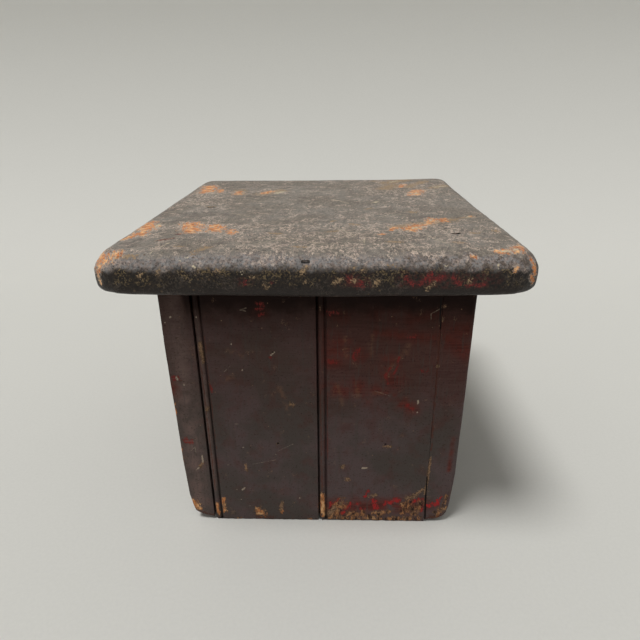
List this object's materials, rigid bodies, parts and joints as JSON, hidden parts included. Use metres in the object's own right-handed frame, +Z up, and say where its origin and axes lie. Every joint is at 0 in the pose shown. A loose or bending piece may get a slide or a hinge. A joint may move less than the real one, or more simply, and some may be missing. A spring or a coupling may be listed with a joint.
{
  "type": "footstool",
  "caption": "Low wooden footstool: a round-edged seat board nailed on an open-bottomed box of beaded, tongued and grooved boards. To rest feet on, sit on or step on.",
  "frame": {"origin": "on the floor, under the middle of the seat", "axes": "+X to the right of the front wall, +Y from the front wall to the back wall, +Z up"},
  "size_m": [0.2662, 0.2968, 0.225],
  "materials": {
    "painted_seat": "old dark brown gloss paint, worn through to orange-brown wood at corners and edges",
    "painted_boards": "old dark red-brown paint over red paint, chipped along the floor edge",
    "bare_wood": "bare sawn softwood, dusty",
    "nail_iron": "painted over and rusty"
  },
  "bodies": {
    "root": {"seat_board": "painted_seat", "front_board_left": "painted_boards", "front_board_right": "painted_boards", "back_board_left": "painted_boards", "back_board_right": "painted_boards", "left_board_front": "painted_boards", "left_board_middle": "painted_boards", "left_board_back": "painted_boards", "right_board_front": "painted_boards", "right_board_middle": "painted_boards", "right_board_back": "painted_boards", "front_upper_cleat": "bare_wood", "front_lower_cleat": "bare_wood", "back_upper_cleat": "bare_wood", "back_lower_cleat": "bare_wood", "left_upper_cleat": "bare_wood", "left_lower_cleat": "bare_wood", "right_upper_cleat": "bare_wood", "right_lower_cleat": "bare_wood", "seat_nails": "nail_iron", "front_nails": "nail_iron", "back_nails": "nail_iron", "left_side_nails": "nail_iron", "right_side_nails": "nail_iron", "left_corner_nails": "nail_iron", "right_corner_nails": "nail_iron"}
  },
  "joints": []
}
